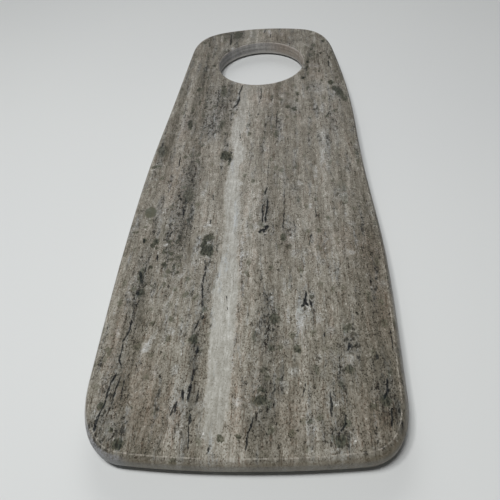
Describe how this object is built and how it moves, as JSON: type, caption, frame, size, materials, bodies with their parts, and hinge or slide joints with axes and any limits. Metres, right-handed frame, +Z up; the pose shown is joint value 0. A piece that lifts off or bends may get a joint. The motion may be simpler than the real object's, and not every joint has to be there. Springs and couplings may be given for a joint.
{
  "type": "marble serving board",
  "caption": "Long, gently tapered polished marble serving board with rounded corners and a round hand hole at its narrow end, standing on low rubber bumper feet.",
  "frame": {"origin": "under the middle of the board's outline, on the surface that the feet stand on", "axes": "+Y along the board towards the end with the hand hole, +X to the right seen from the front edge, +Z up through the serving face"},
  "size_m": [0.1732, 0.457, 0.0143],
  "materials": {
    "marble": "polished taupe-grey marble with lengthwise bands, white and dark veins",
    "foot_rubber": "matte black moulded rubber",
    "adhesive_foam": "matte off-white foam tape"
  },
  "bodies": {
    "root": {"stone_slab": "marble", "bumper_foot_front_left": "foot_rubber", "bumper_foot_front_right": "foot_rubber", "bumper_foot_far_left": "foot_rubber", "bumper_foot_far_right": "foot_rubber", "adhesive_disc_front_left": "adhesive_foam", "adhesive_disc_front_right": "adhesive_foam", "adhesive_disc_far_left": "adhesive_foam", "adhesive_disc_far_right": "adhesive_foam"}
  },
  "joints": []
}
